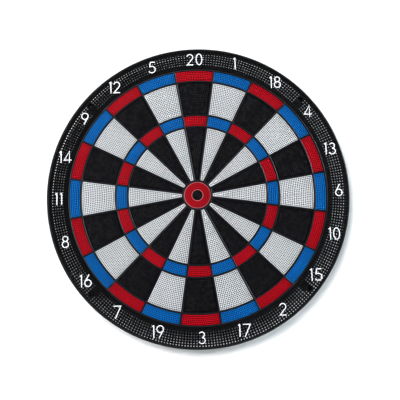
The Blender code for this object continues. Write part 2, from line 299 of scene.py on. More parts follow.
def piece(name, mesh, look, body, replaced=(), turn=0.0):
    """Puts a mesh in place as one piece that rides on a CAD body."""
    if not mesh.materials:
        mesh.materials.append(look)
    obj = bpy.data.objects.new(name, mesh)
    bpy.context.scene.collection.objects.link(obj)
    obj.rotation_euler = (0, turn, 0)
    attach(obj, body)
    if replaced:
        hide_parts(*replaced)
    return obj


# ---------------------------------------------------------------- materials


# A pale grey, for rubbed edges and for painted highlights.
WEAR_AND_HIGHLIGHT_GREY = 0.75
# The colour of the painted shade deep in the dart holes.
HOLE_SHADE_COLOUR = (0.008, 0.008, 0.009)
POLISHED_ROUGHNESS = 0.34
RED = (0.46, 0.0015, 0.018)
BLUE = (0.001, 0.165, 0.45)


class Look:
    """A Principled material with short ways to add the nodes that the finishes share."""

    def __init__(self, name, colour, metallic=0.0, specular=0.5):
        self.material = bpy.data.materials.new(name)
        self.material.use_nodes = True
        self.nodes = self.material.node_tree.nodes
        self.links = self.material.node_tree.links
        self.shader = self.nodes["Principled BSDF"]
        self.colour = colour
        self.shader.inputs["Metallic"].default_value = metallic
        self.shader.inputs["Specular IOR Level"].default_value = specular
        place = self.nodes.new("ShaderNodeTexCoord")
        info = self.nodes.new("ShaderNodeObjectInfo")
        shift = self.math("MULTIPLY", info.outputs["Random"], 3.7)
        move = self.nodes.new("ShaderNodeVectorMath")
        move.operation = "ADD"
        self.links.new(place.outputs["Object"], move.inputs[0])
        self.links.new(shift, move.inputs[1])
        self.place = move.outputs["Vector"]
        self.own = place.outputs["Object"]
        self.height = None

    def math(self, operation, a, b=0.0):
        node = self.nodes.new("ShaderNodeMath")
        node.operation = operation
        for socket, value in zip(node.inputs, (a, b)):
            if isinstance(value, (int, float)):
                socket.default_value = value
            else:
                self.links.new(value, socket)
        return node.outputs[0]

    def noise(self, size, detail=2.0, rough=0.55, stretch=None):
        """Noise whose features are about size millimetres across."""
        node = self.nodes.new("ShaderNodeTexNoise")
        node.inputs["Scale"].default_value = 1 / (size * MM)
        node.inputs["Detail"].default_value = detail
        node.inputs["Roughness"].default_value = rough
        source = self.place
        if stretch:
            mapping = self.nodes.new("ShaderNodeMapping")
            mapping.inputs["Scale"].default_value = stretch
            self.links.new(source, mapping.inputs["Vector"])
            source = mapping.outputs["Vector"]
        self.links.new(source, node.inputs["Vector"])
        return node.outputs["Fac"]

    def cells(self, size):
        node = self.nodes.new("ShaderNodeTexVoronoi")
        node.inputs["Scale"].default_value = 1 / (size * MM)
        self.links.new(self.place, node.inputs["Vector"])
        return node.outputs["Distance"]

    def radius(self):
        """The distance from the board's axis, in millimetres."""
        flat = self.nodes.new("ShaderNodeVectorMath")
        flat.operation = "MULTIPLY"
        flat.inputs[1].default_value = (1 / MM, 0, 1 / MM)
        self.links.new(self.own, flat.inputs[0])
        length = self.nodes.new("ShaderNodeVectorMath")
        length.operation = "LENGTH"
        self.links.new(flat.outputs["Vector"], length.inputs[0])
        return length.outputs["Value"]

    def depth(self):
        """The depth in front of the wall at rest, in millimetres."""
        split = self.nodes.new("ShaderNodeSeparateXYZ")
        self.links.new(self.own, split.inputs[0])
        return self.math("MULTIPLY", split.outputs["Y"], -1 / MM)

    def ramp(self, value, low, high, start=0.0, end=1.0):
        node = self.nodes.new("ShaderNodeMapRange")
        for name, number in (("From Min", low), ("From Max", high), ("To Min", start), ("To Max", end)):
            node.inputs[name].default_value = number
        self.links.new(value, node.inputs["Value"])
        return node.outputs["Result"]

    def mix(self, amount, a, b):
        node = self.nodes.new("ShaderNodeMix")
        node.data_type = "RGBA"
        for socket, value in ((node.inputs[0], amount), (node.inputs[6], a), (node.inputs[7], b)):
            if isinstance(value, tuple):
                socket.default_value = (*value, 1)
            else:
                self.links.new(value, socket)
        return node.outputs[2]

    def shades(self, darker, lighter):
        return (tuple(c * darker for c in self.colour), tuple(min(1, c * lighter) for c in self.colour))

    def edges(self, low=0.52, high=0.6):
        """1 along convex edges, 0 elsewhere."""
        return self.ramp(self.nodes.new("ShaderNodeNewGeometry").outputs["Pointiness"], low, high)

    def bump(self, height, distance, strength=1.0):
        """Adds a bump of up to distance millimetres on top of those already there."""
        node = self.nodes.new("ShaderNodeBump")
        node.inputs["Strength"].default_value = strength
        node.inputs["Distance"].default_value = distance * MM
        self.links.new(height, node.inputs["Height"])
        if self.height:
            self.links.new(self.height, node.inputs["Normal"])
        self.height = node.outputs["Normal"]

    def done(self, colour, roughness):
        self.links.new(colour, self.shader.inputs["Base Color"])
        self.links.new(roughness, self.shader.inputs["Roughness"])
        self.links.new(self.height, self.shader.inputs["Normal"])
        return self.material


def chalky(colour, amount):
    """A colour moved part of the way to a pale grey, used for rubbed edges and for painted highlights."""
    return tuple(c + (WEAR_AND_HIGHLIGHT_GREY - c) * amount for c in colour)


def plastic(name, colour, roughness=0.45, grain=0.45, depth=0.02, mottle=0.12, wear=0.5, specular=0.17,
            polished=None, hole_shade_depth=None, pale_bands=()):
    """Moulded plastic: spark-eroded grain, slow changes of shade and gloss, and rubbed edges.

    Beyond the radius and in front of the depth in polished the surface is smoother. Behind the depth
    given for the holes, the dart holes are darkened as painted shade. Paler bands of colour are painted
    highlights, each given as a radius, a half width and an amount.
    """
    look = Look(name, colour, specular=specular)
    dark, light = look.shades(1 - mottle, 1 + mottle)
    shade = look.mix(look.ramp(look.noise(38, 3), 0.35, 0.65), dark, light)
    worn, pale = chalky(colour, 0.18), chalky(colour, 0.8)
    rubbed = look.math("MULTIPLY", look.edges(), look.ramp(look.noise(6, 4), 0.42, 0.6, 0.1, wear))
    shade = look.mix(rubbed, shade, worn)
    # Painted highlights: paler colour in bands along given radii.
    for r, half, amount in pale_bands:
        distance = look.math("ABSOLUTE", look.math("SUBTRACT", look.radius(), r))
        shade = look.mix(look.ramp(distance, half, half + 0.4, amount, 0.0), shade, pale)
    # Painted shade: below the given depth the dart holes darken towards their bottoms.
    if hole_shade_depth:
        hole_shade_mask = look.ramp(look.depth(), hole_shade_depth - 0.9, hole_shade_depth, 0.85, 0.0)
        shade = look.mix(hole_shade_mask, shade, HOLE_SHADE_COLOUR)
    fine = look.noise(grain, 2)
    gloss = look.math("ADD", look.ramp(look.noise(14, 4), 0.3, 0.7, -0.06, 0.06),
                      look.ramp(fine, 0.3, 0.7, roughness - 0.04, roughness + 0.04))
    if polished:
        r, rear = polished
        outer = look.ramp(look.radius(), r, r + 0.5, 0, roughness - POLISHED_ROUGHNESS)
        front = look.ramp(look.depth(), rear - 0.5, rear)
        gloss = look.math("SUBTRACT", gloss, look.math("MULTIPLY", outer, front))
    look.bump(look.noise(9, 2), 0.04, 0.5)
    look.bump(fine, depth)
    return look.done(shade, gloss)


def sponge(name, colour):
    """Closed-cell sponge: small pits of two sizes, the larger ones darker as painted shade."""
    look = Look(name, colour, specular=0.2)
    pits = look.ramp(look.cells(1.1), 0.1, 0.5)
    fine = look.ramp(look.cells(0.45), 0.1, 0.55)
    # Painted shade: the colour is darker towards the middle of the larger pits.
    dark, light = look.shades(0.6, 1.5)
    shade = look.mix(pits, dark, light)
    look.bump(pits, 0.3)
    look.bump(fine, 0.12)
    return look.done(shade, look.ramp(fine, 0, 1, 0.85, 1.0))


def steel(name, colour, roughness, rust=(0.22, 0.2, 0.17)):
    """Plated steel: drawn streaks, a few stains and brighter edges."""
    look = Look(name, colour, metallic=1.0)
    streaks = look.noise(1.4, 3, stretch=(0.06, 1, 1))
    stains = look.ramp(look.noise(7, 5), 0.55, 0.75, 0, 0.5)
    dark, light = look.shades(0.82, 1.12)
    shade = look.mix(look.ramp(streaks, 0.3, 0.7), dark, light)
    shade = look.mix(stains, shade, rust)
    look.bump(streaks, 0.01)
    gloss = look.math("ADD", look.ramp(streaks, 0.3, 0.7, roughness - 0.06, roughness + 0.06), stains)
    return look.done(shade, gloss)


def coloured(name, colour, **more):
    """The satin plastic of the red and blue segments, with painted shade in the dart holes."""
    return plastic(name, colour, 0.55, mottle=0.05, wear=0.15, specular=0.13, hole_shade_depth=HOLE_SHADE_DEPTH, **more)


LOOKS = {
    # The ring's lip has a painted highlight, a faint paler band along its crest.
    "ring_plastic": plastic("ring_plastic", (0.0036, 0.0036, 0.0046), 0.85, wear=0.1, specular=0.15,
                            polished=(RING_R - 2.3, WEB_BACK), pale_bands=((RING_R - 2.2, 1.2, 0.022),)),
    "spider_plastic": plastic("spider_plastic", (0.012, 0.0115, 0.016), 0.4, mottle=0.1, specular=0.22),
    "black_segment": plastic("black_segment", (0.0052, 0.0048, 0.008), 0.6, mottle=0.06, specular=0.12),
    # The white segments also have painted shade in their dart holes.
    "white_segment": plastic("white_segment", (0.6, 0.61, 0.625), 0.55, mottle=0.025, wear=0.1,
                             hole_shade_depth=HOLE_SHADE_DEPTH),
    "red_segment": coloured("red_segment", RED),
    "blue_segment": coloured("blue_segment", BLUE),
    # The bull's two beads have painted highlights, paler bands along their crests.
    "bull_red": coloured("bull_red", RED, pale_bands=((8.5, 0.35, 0.3), (19.8, 0.35, 0.3))),
    "numerals": plastic("numerals", (0.75, 0.75, 0.775), 0.45, mottle=0.02, wear=0.0),
    "cover_plastic": plastic("cover_plastic", (0.05, 0.05, 0.053), 0.5, grain=0.8, depth=0.04,
                             specular=0.35),
    "sponge": sponge("sponge", (0.025, 0.025, 0.027)),
    "zinc_steel": steel("zinc_steel", (0.58, 0.59, 0.6), 0.32),
    "screw_black": steel("screw_black", (0.03, 0.03, 0.033), 0.38, (0.05, 0.045, 0.04)),
}


# ---------------------------------------------------------------- segments


def cell_radii(band):
    """The inner and outer edges of the space between two circular ribs."""
    return RIB_CENTRES[band] + RIB / 2, RIB_CENTRES[band + 1] - RIB / 2


def cell(r_in, r_out, inset, corner=0.5, steps=10):
    """The loop round one cell at turn 0, inset from the two sector lines, with rounded corners."""
    def side(r):
        return SECTOR / 2 - math.asin(inset / r)

    def arc(r, way):
        """From the left to the right of the cell on the outer arc, and back on the inner one."""
        half = side(r) - corner / r
        turns = [half * (2 * i / steps - 1) for i in range(steps + 1)]
        return [polar(r, turn * way) for turn in turns]

    def edge(r, towards, way):
        """The end of an arc: half round its corner, then on to the straight side."""
        bend = 0.3 * corner
        near, far = r + towards * bend, r + towards * corner
        rounded = polar(near, way * (side(near) - bend / near))
        straight = polar(far, way * side(far))
        return [rounded, straight]

    right = edge(r_out, -1, 1) + edge(r_in, 1, 1)[::-1]
    left = edge(r_in, 1, -1) + edge(r_out, -1, -1)[::-1]
    return arc(r_out, 1) + right + arc(r_in, -1) + left


def punched(centre, turn=0.0, face=SEGMENT_FACE):
    """One dart hole right through a segment, with a chamfered mouth."""
    start = turn + math.pi / HOLE_SIDES
    mouth = circle(HOLE_MOUTH_R, HOLE_SIDES, centre, start)
    bore = circle(HOLE_R, HOLE_SIDES, centre, start)
    return [(mouth, face), (bore, face - HOLE_CHAMFER), (bore, FLANGE_BACK)]


def hole_ring(r, count, face=SEGMENT_FACE):
    """Dart holes spread evenly round a circle."""
    turns = [2 * math.pi * column / count for column in range(count)]
    return [punched(polar(r, turn), turn, face) for turn in turns]


def hole_grid(r_in, r_out, inset):
    """Dart holes in rows along arcs, each row spread evenly between the two straight sides."""
    rows = round((r_out - r_in - 2 * HOLE_MARGIN) / HOLE_PITCH) + 1
    first = (r_in + r_out - (rows - 1) * HOLE_PITCH) / 2
    holes = []
    for row in range(rows):
        r = first + row * HOLE_PITCH
        half = SECTOR / 2 - math.asin((inset + HOLE_MARGIN) / r)
        width = 2 * half * r
        gaps = round(width / HOLE_SPREAD)
        if gaps and width / gaps < HOLE_LEAST_SPREAD:
            gaps -= 1
        count = gaps + 1
        for column in range(count):
            turn = half * (2 * column / (count - 1) - 1) if count > 1 else 0.0
            holes.append(punched(polar(r, turn), turn))
    return holes


def segment(band):
    """A perforated block with softened edges, and the flange that hooks behind the ribs."""
    r_in, r_out = cell_radii(band)
    inset = RADIAL_RIB / 2 + GAP

    def block(grow):
        return cell(r_in + GAP - grow, r_out - GAP + grow, inset - grow)

    outline = [
        (block(-0.4), SEGMENT_FACE),
        (block(-0.12), SEGMENT_FACE - 0.1),
        (block(0), SEGMENT_FACE - 0.4),
        (block(0), FLANGE_FRONT),
        (block(GAP + FLANGE_OVERLAP), FLANGE_FRONT),
        (block(GAP + FLANGE_OVERLAP), FLANGE_BACK),
    ]
    return plate(f"segment_{band}", outline, hole_grid(r_in + GAP, r_out - GAP, inset))


def make_segments():
    """Four rings of segments, each with one mesh for each colour, turned to its places."""
    rings = (
        (INNER_SINGLE, "inner_single", "black", "white"),
        (OUTER_SINGLE, "outer_single", "black", "white"),
        (TRIPLE, "triple", "red", "blue"),
        (DOUBLE, "double", "red", "blue"),
    )
    for band, name, *colours in rings:
        shape = segment(band)
        shapes = (shape, shape.copy())
        for index, number in enumerate(NUMBERS):
            colour = colours[index % 2]
            slot = f"{colour}_segment"
            node = f"{name}_{number if band in (INNER_SINGLE, OUTER_SINGLE) else colour}"
            mesh = shapes[index % 2]
            piece(f"{name}_{number}_face", mesh, LOOKS[slot], node, [node], index * SECTOR)


def make_bulls():
    """The red ring has a raised bead along both edges, and the black button sits below its face."""
    bore, counterbore = 8.0, 1.8
    edge = RIB_CENTRES[0] - RIB / 2 - GAP
    lap = edge + GAP + FLANGE_OVERLAP
    bead, rise = 1.0, 0.45
    face = SEGMENT_FACE - rise

    def beaded(r, way):
        """The bead beside radius r, from its far foot over its crest to the straight side."""
        shape = ((1.0, 0.0), (0.75, 0.8), (0.45, 1.0), (0.15, 0.7))
        return [(r + way * out * bead, face + up * rise) for out, up in shape] + [(r, face - 0.1)]

    outer = beaded(edge, -1) + [(edge, FLANGE_FRONT), (lap, FLANGE_FRONT), (lap, FLANGE_BACK)]
    inner = beaded(bore, 1) + [
        (bore, FLANGE_FRONT + counterbore), (bore + counterbore, FLANGE_FRONT + counterbore),
        (bore + counterbore, FLANGE_BACK),
    ]
    rows = 4
    first_margin, last_margin = 1.35, 1.05
    first, last = bore + bead + first_margin, edge - bead - last_margin
    holes = [[(circle(r, BULL_STEPS), depth) for r, depth in inner]]
    for row in range(rows):
        r = first + (last - first) * row / (rows - 1)
        holes += hole_ring(r, round(2 * math.pi * r / HOLE_SPREAD), face)
    mesh = plate("outer_bull_face", [(circle(r, BULL_STEPS), depth) for r, depth in outer], holes)
    piece("outer_bull_face", mesh, LOOKS["bull_red"], "outer_bull", ["outer_bull"])

    button, flange, flange_front = bore - 0.6, bore + 1.2, FLANGE_FRONT + 0.3
    outline = [
        (button - 0.5, SEGMENT_FACE), (button - 0.15, SEGMENT_FACE - 0.12), (button, SEGMENT_FACE - 0.5),
        (button, flange_front), (flange, flange_front), (flange, FLANGE_BACK),
    ]
    holes = [punched((0.0, 0.0))] + hole_ring(2.65, 6) + hole_ring(5.25, 12)
    mesh = plate("inner_bull_face", [(circle(r, 48), depth) for r, depth in outline], holes)
    piece("inner_bull_face", mesh, LOOKS["black_segment"], "inner_bull", ["inner_bull"])


# ---------------------------------------------------------------- spider


def make_spider():
    """Every rib has a rounded top, and the outermost one ends in a narrow bead beside the number ring."""
    rounding = ((1.05, 0.0), (0.75, 0.07), (0.42, 0.3), (0.14, 0.7), (0.0, 1.2))
    arc_steps = 12

    def levels(loop_at):
        return [(loop_at(grow), FACE - down) for grow, down in rounding] + [(loop_at(0.0), RIB_BACK)]

    holes = [levels(lambda grow: circle(RIB_CENTRES[0] - RIB / 2 + grow, BULL_STEPS))]
    for band in range(len(RIB_CENTRES) - 1):
        r_in, r_out = cell_radii(band)
        for index in range(SECTORS):
            def loop_at(grow, turn=index * SECTOR, r_in=r_in, r_out=r_out):
                flat = cell(r_in - grow, r_out + grow, RADIAL_RIB / 2 - grow, steps=arc_steps)
                c, s = math.cos(turn), math.sin(turn)
                return [(x * c + z * s, z * c - x * s) for x, z in flat]
            holes.append(levels(loop_at))
    flange_r, flange_front = SCORING_R + 3.6, RIB_BACK + 2.0
    bead = (
        (SCORING_R - 0.95, FACE), (SCORING_R - 0.8, FACE), (SCORING_R - 0.45, FACE - 0.04),
        (SCORING_R - 0.15, FACE - 0.25), (SCORING_R, FACE - 0.7), (SCORING_R, flange_front),
        (flange_r, flange_front), (flange_r, RIB_BACK),
    )
    outline = [(circle(r, SECTORS * arc_steps), depth) for r, depth in bead]
    mesh = plate("spider_web", outline, holes, smooth_angle=50.0)
    piece("spider_web", mesh, LOOKS["spider_plastic"], "board", ["spider"])


# ---------------------------------------------------------------- number ring


def arc_points(centre, radii, start, end, steps=12):
    """Points along an ellipse from one angle to another, in degrees anticlockwise from +X."""
    made = []
    for i in range(steps + 1):
        a = math.radians(start + (end - start) * i / steps)
        made.append((centre[0] + radii[0] * math.cos(a), centre[1] + radii[1] * math.sin(a)))
    return made


# The centre lines of each digit's strokes, in millimetres from the digit's middle.
DIGIT_HALF = 9.5
TOP = DIGIT_HALF - STROKE / 2
NINE = [arc_points((0, 3.4), (4.9, 4.9), 0, 360, 28), [(4.4, 1.3), (-1.7, -DIGIT_HALF)]]
DIGITS = {
    "0": [arc_points((0, 0), (4.5, TOP), 0, 360, 32)],
    "1": [[(0, -DIGIT_HALF), (0, DIGIT_HALF)], [(-2.7, 6.9), (0.2, 8.9)]],
    "2": [arc_points((-0.2, 3.7), (4.5, 4.6), 170, -33) + [(-4.5, -TOP), (5.2, -TOP)]],
    "3": [arc_points((-0.3, 4.4), (3.9, 3.9), 155, -90), arc_points((-0.3, -4.1), (4.9, 4.4), 90, -160)],
    "4": [[(2.6, -DIGIT_HALF), (2.6, 8.2), (-5.6, -5.2), (6.0, -5.2)]],
    "5": [[(4.6, TOP), (-2.5, TOP), (-4.0, 0.9)], arc_points((-0.6, -3.2), (5.5, 5.2), 128, -150)],
    "6": [[(-x, -z) for x, z in stroke] for stroke in NINE],
    "7": [[(-5.8, TOP), (5.3, TOP), (-3.0, -9.9)]],
    "8": [arc_points((0, 4.5), (3.8, 3.9), 0, 360, 24), arc_points((0, -3.9), (4.6, 4.6), 0, 360, 28)],
    "9": NINE,
}


def strokes_of(number):
    """The centre lines of a number's digits, side by side and centred on the origin."""
    space = STROKE + 2.7
    placed, reach = [], 0.0
    for digit in str(number):
        strokes = DIGITS[digit]
        left = min(x for stroke in strokes for x, _ in stroke)
        right = max(x for stroke in strokes for x, _ in stroke)
        placed += [[(x - left + reach, z) for x, z in stroke] for stroke in strokes]
        reach += right - left + space
    middle = (reach - space) / 2
    return [[(x - middle, z) for x, z in stroke] for stroke in placed]


def ribbon(stroke, half):
    """Anticlockwise quads along a stroke, mitred at its corners. A stroke may end where it starts."""
    mitre_limit = 0.35
    closed = math.dist(stroke[0], stroke[-1]) < 1e-6
    points = [Vector(p) for p in (stroke[:-1] if closed else stroke)]
    count = len(points)
    sides = []
    for i, here in enumerate(points):
        before = points[i - 1] if i or closed else None
        after = points[(i + 1) % count] if i < count - 1 or closed else None
        into = (here - before).normalized() if before is not None else (after - here).normalized()
        out = (after - here).normalized() if after is not None else into
        across = Vector((-into.y, into.x)) + Vector((-out.y, out.x))
        across /= max(mitre_limit, across.length_squared / 2)
        sides.append((here + across * half, here - across * half))
    spans = count if closed else count - 1
    pairs = [(sides[i], sides[(i + 1) % count]) for i in range(spans)]
    return [(near[1], far[1], far[0], near[0]) for near, far in pairs]


def raised(name, quads, low, high, soft=0.22):
    """A raised shape over the union of some quads, with softened top edges."""
    points = [p for quad in quads for p in quad]
    loops = [list(range(4 * i, 4 * i + 4)) for i in range(len(quads))]
    places, _, triangles, _, _, covers = delaunay_2d_cdt(points, [], loops, INSIDE_ONLY, 1e-4, True)
    bm = bmesh.new()
    verts = [bm.verts.new(at(v.x, v.y, high)) for v in places]
    for triangle, covered in zip(triangles, covers):
        if covered:
            bm.faces.new([verts[i] for i in triangle])
    bmesh.ops.delete(bm, geom=[v for v in bm.verts if not v.link_faces], context="VERTS")
    bmesh.ops.dissolve_limit(bm, angle_limit=0.01, verts=bm.verts, edges=bm.edges)
    pushed = bmesh.ops.extrude_face_region(bm, geom=bm.faces[:])
    moved = [item for item in pushed["geom"] if isinstance(item, bmesh.types.BMVert)]
    bmesh.ops.translate(bm, verts=moved, vec=(0, (high - low) * MM, 0))
    return combined(close_mesh(name, bm), [], bevel=soft)


def numeral_centre(index):
    """The middle of a number, a little off its sector line where the moulding has it so."""
    x, z = polar(NUMERAL_R, index * SECTOR)
    nudge_x, nudge_z = NUMERAL_NUDGES.get(NUMBERS[index], (0.0, 0.0))
    return x + NUMERAL_SHIFT[0] + nudge_x, z + NUMERAL_SHIFT[1] + nudge_z


def distance_to(stroke, x, z):
    """The distance from a point to the centre line of a stroke."""
    here = Vector((x, z))
    best = math.inf
    for a, b in zip(stroke, stroke[1:]):
        a, b = Vector(a), Vector(b)
        along = max(0.0, min(1.0, (here - a).dot(b - a) / max(1e-9, (b - a).length_squared)))
        best = min(best, (here - a - (b - a) * along).length)
    return best


def screw_places():
    return [(x, z) for x in (-SCREW_X, SCREW_X) for z in (-SCREW_Z, SCREW_Z)]


def ring_holes():
    """Through holes, left out under the numerals and round the screw cups."""
    holes = []
    for index, number in enumerate(NUMBERS):
        cx, cz = numeral_centre(index)
        strokes = strokes_of(number)
        for row in range(RING_ROWS):
            for column in range(RING_COLUMNS):
                turn = SECTOR * (index + (column + 0.5) / RING_COLUMNS - 0.5)
                x, z = polar(RING_ROW_R + row * RING_ROW_PITCH, turn)
                if any(distance_to(s, x - cx, z - cz) < STROKE / 2 + NUMERAL_MARGIN for s in strokes):
                    continue
                if any(math.dist((x, z), screw) < CUP_PLAIN_R for screw in screw_places()):
                    continue
                start = turn + math.pi / HOLE_SIDES
                mouth = circle(RING_HOLE_MOUTH_R, HOLE_SIDES, (x, z), start)
                bore = circle(RING_HOLE_R, HOLE_SIDES, (x, z), start)
                holes.append([(mouth, WEB_FRONT), (bore, WEB_FRONT - RING_HOLE_CHAMFER), (bore, WEB_BACK)])
    return holes


def make_number_ring():
    """The ring's shell, from its rolled lip to the collar over the spider, and the raised numbers."""
    skirt_back = depths("number_ring")[1]
    steps = SECTORS * RING_COLUMNS
    lip_foot = RING_R - 3.6
    lip = (
        (lip_foot, WEB_FRONT), (RING_R - 3.3, WEB_FRONT + 0.1), (RING_R - 3.0, WEB_FRONT + 0.4),
        (RING_R - 2.7, WEB_FRONT + 0.76), (RING_R - 2.35, FACE - 0.04), (RING_R - 1.9, FACE),
        (RING_R - 1.3, FACE - 0.14), (RING_R - 0.75, FACE - 0.5), (RING_R - 0.3, FACE - 1.1),
        (RING_R - 0.06, FACE - 1.8), (RING_R, FACE - 2.5),
        (RING_R, skirt_back + 0.4), (RING_R - 0.4, skirt_back), (RING_R - 1.8, skirt_back),
        (RING_R - 2.2, skirt_back + 0.4), (RING_R - 2.9, WEB_BACK - 0.6), (lip_foot, WEB_BACK),
    )
    inner = SCORING_R + 0.7
    seat = inner + 2.3
    flange_back = RIB_BACK + 2.3
    collar = (
        (inner + 0.5, WEB_FRONT), (inner + 0.15, WEB_FRONT - 0.12), (inner, WEB_FRONT - 0.5),
        (inner, flange_back), (seat, flange_back), (seat, WEB_BACK),
    )
    holes = [[(circle(r, steps), depth) for r, depth in collar]]
    cup = (
        (CUP_BORE_R + 0.5, WEB_FRONT), (CUP_BORE_R + 0.12, WEB_FRONT - 0.15), (CUP_BORE_R, WEB_FRONT - 0.5),
        (CUP_BORE_R, CUP_FLOOR), (CLEARANCE_R, CUP_FLOOR), (CLEARANCE_R, CUP_BACK), (CUP_R - 0.3, CUP_BACK),
        (CUP_R, CUP_BACK + 0.3), (CUP_R, WEB_BACK),
    )
    for centre in screw_places():
        holes.append([(circle(r, 32, centre), depth) for r, depth in cup])
    holes += ring_holes()
    mesh = plate("number_ring_shell", [(circle(r, steps), depth) for r, depth in lip], holes)
    piece("number_ring_shell", mesh, LOOKS["ring_plastic"], "board", ["number_ring"])

    lift = 0.01
    for index, number in enumerate(NUMBERS):
        cx, cz = numeral_centre(index)
        quads = [quad for stroke in strokes_of(number) for quad in ribbon(stroke, STROKE / 2)]
        quads = [[p + Vector((cx, cz)) for p in quad] for quad in quads]
        mesh = raised(f"numeral_{number}", quads, WEB_FRONT + lift, WEB_FRONT + NUMERAL_RISE)
        piece(f"numeral_{number}", mesh, LOOKS["numerals"], "board")


# ---------------------------------------------------------------- back


def turned_mesh(name, profile, steps):
    """A turned solid as a mesh of its own."""
    bm = bmesh.new()
    turned(bm, profile, steps)
    return close_mesh(name, bm)


def drilled(bm, r, back, front, centre, steps=32):
    """The round plug that a Boolean step takes out to make a hole."""
    turned(bm, ((0, front), (r, front), (r, back), (0, back)), steps, centre)


def make_back_cover():
    """A drum with a recessed back: stiffeners outside, ring ribs inside, and an arm to each ring screw."""
    front, back = depths("back_cover")
    foot, crest, rib_front = 1.25, 1.0, PAD_BACK - 0.3
    inside = []
    for centre in SUPPORT_RIBS:
        inside += [
            (centre + foot, FLOOR), (centre + crest, rib_front),
            (centre - crest, rib_front), (centre - foot, FLOOR),
        ]
    bore = DRUM_R - DRUM_WALL
    shell = turned_mesh("back_cover_shell", (
        (0, back), (HUB_R - 0.8, back), (HUB_R, back + 0.4), (HUB_R + 0.8, RECESS),
        (RIM_INNER_R - 0.8, RECESS), (RIM_INNER_R, back + 0.4), (RIM_INNER_R + 0.8, back),
        (DRUM_R - 1.5, back), (DRUM_R - 0.45, back + 0.45), (DRUM_R, back + 1.5),
        (DRUM_R, front - 0.5), (DRUM_R - 0.5, front), (bore + 0.5, front), (bore, front - 0.5),
        (bore, LEDGE_FRONT), (LEDGE_R, LEDGE_FRONT), (LEDGE_R, FLOOR), *inside, (0, FLOOR),
    ), 192)

    arms, ears, holes = bmesh.new(), bmesh.new(), bmesh.new()
    for x, z in screw_places():
        turn = math.atan2(x, z)
        box(arms, (-EAR_WIDTH / 2, RECESS + 1.0, DRUM_R - 1.5),
            (EAR_WIDTH / 2, EAR_FRONT - 1.0, math.hypot(x, z)), turn)
        turned(ears, ((0, RECESS), (EAR_R, RECESS), (EAR_R, EAR_FRONT), (0, EAR_FRONT)), 40, (x, z))
        drilled(holes, CLEARANCE_R, FLOOR + 1.0, EAR_FRONT + 1.0, (x, z))
    stiffeners, marks = bmesh.new(), bmesh.new()
    half_width, stiffener_back = 1.5, 0.5
    mark_r, mark_depth, mark_circles = 4.0, 0.15, (62.0, 128.0)
    for index in range(STIFFENERS):
        turn = 2 * math.pi * (index + 0.5) / STIFFENERS
        box(stiffeners, (-half_width, stiffener_back, HUB_R - 1.0),
            (half_width, RECESS + 1.0, RIM_INNER_R + 1.0), turn)
        for r in mark_circles:
            centre = polar(r, turn + math.pi / STIFFENERS)
            drilled(marks, mark_r, RECESS - 1.0, RECESS + mark_depth, centre)
    half_x, half_z = (side / 2 for side in POCKET_SIZE)
    pocket_front = PAD_BACK - 0.4
    pocket = bmesh.new()
    box(pocket, (-half_x - POCKET_WALL, FLOOR - 1.0, HANGER_Z - half_z - POCKET_WALL),
        (half_x + POCKET_WALL, pocket_front, HANGER_Z + half_z + POCKET_WALL))
    box(holes, (-half_x, RECESS - 1.0, HANGER_Z - half_z),
        (half_x, pocket_front - POCKET_WALL, HANGER_Z + half_z))
    for x in (-HANGER_SCREW_X, HANGER_SCREW_X):
        drilled(holes, CLEARANCE_R - 0.3, RECESS - 1.0, FLOOR + 1.0, (x, HANGER_Z))
    mesh = combined(shell, [
        ("UNION", arms), ("UNION", ears), ("UNION", stiffeners), ("UNION", pocket),
        ("DIFFERENCE", holes), ("DIFFERENCE", marks),
    ], bevel=0.3)
    piece("back_cover_shell", mesh, LOOKS["cover_plastic"], "board", ["back_cover"])


def keyhole(grow):
    """The keyhole's outline: a round entry with a narrower round-ended slot above it."""
    entry_z, slot_z = HANGER_Z - KEYHOLE_RISE / 2, HANGER_Z + KEYHOLE_RISE / 2
    entry_r, slot_r = KEYHOLE_ENTRY_R + grow, KEYHOLE_SLOT_R + grow
    join = math.degrees(math.asin(slot_r / entry_r))
    top = arc_points((0, slot_z), (slot_r, slot_r), 0, 180, 12)
    return top + arc_points((0, entry_z), (entry_r, entry_r), 90 + join, 450 - join, 28)


def make_hanger_plate():
    """A pressed plate with rounded corners, a keyhole and two screw holes, all with softened edges."""
    width, height = HANGER_SIZE
    soft = 0.25

    def blank(grow, corner=4.0):
        loop = []
        for x, z, start in ((1, 1, 0), (-1, 1, 90), (-1, -1, 180), (1, -1, 270)):
            centre = (x * (width / 2 - corner), HANGER_Z + z * (height / 2 - corner))
            loop += arc_points(centre, (corner + grow, corner + grow), start, start + 90, 6)
        return loop

    def through(loop_at, way):
        return [(loop_at(way * soft), PLATE_FRONT), (loop_at(0.0), PLATE_FRONT - soft),
                (loop_at(0.0), PLATE_BACK + soft), (loop_at(way * soft), PLATE_BACK)]

    holes = [through(keyhole, 1)]
    for x in (-HANGER_SCREW_X, HANGER_SCREW_X):
        holes.append(through(lambda grow, x=x: circle(CLEARANCE_R + grow, 24, (x, HANGER_Z)), 1))
    mesh = plate("hanger_plate_pressing", through(blank, -1), holes, smooth_angle=50.0)
    piece("hanger_plate_pressing", mesh, LOOKS["zinc_steel"], "board", ["hanger_plate"])


